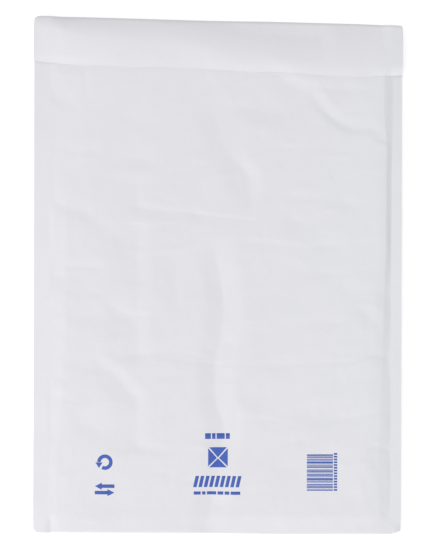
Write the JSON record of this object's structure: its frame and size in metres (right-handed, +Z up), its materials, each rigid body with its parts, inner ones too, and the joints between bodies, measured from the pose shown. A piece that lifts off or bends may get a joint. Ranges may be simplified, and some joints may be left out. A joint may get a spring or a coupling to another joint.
{
  "type": "padded envelope",
  "caption": "Flat bubble-lined paper mailing envelope lying on its back, its flap folded over the front, with pressed side seams and a peel-off strip under the flap.",
  "frame": {"origin": "middle of the footprint, on the surface that the back panel lies on", "axes": "+X across the front panel, +Y towards the flap fold, +Z up out of the front panel"},
  "size_m": [0.32, 0.4497, 0.0084],
  "materials": {
    "jacket_paper": "smooth machine-finished white kraft, matt",
    "bubble_film": "clear polyethylene film",
    "hot_melt_adhesive": "tacky, glossy",
    "release_paper": "silicone coated, satin"
  },
  "bodies": {
    "root": {"paper_jacket": "jacket_paper", "bubble_lining": "bubble_film", "adhesive_strip": "hot_melt_adhesive", "release_strip": "release_paper"}
  },
  "joints": []
}
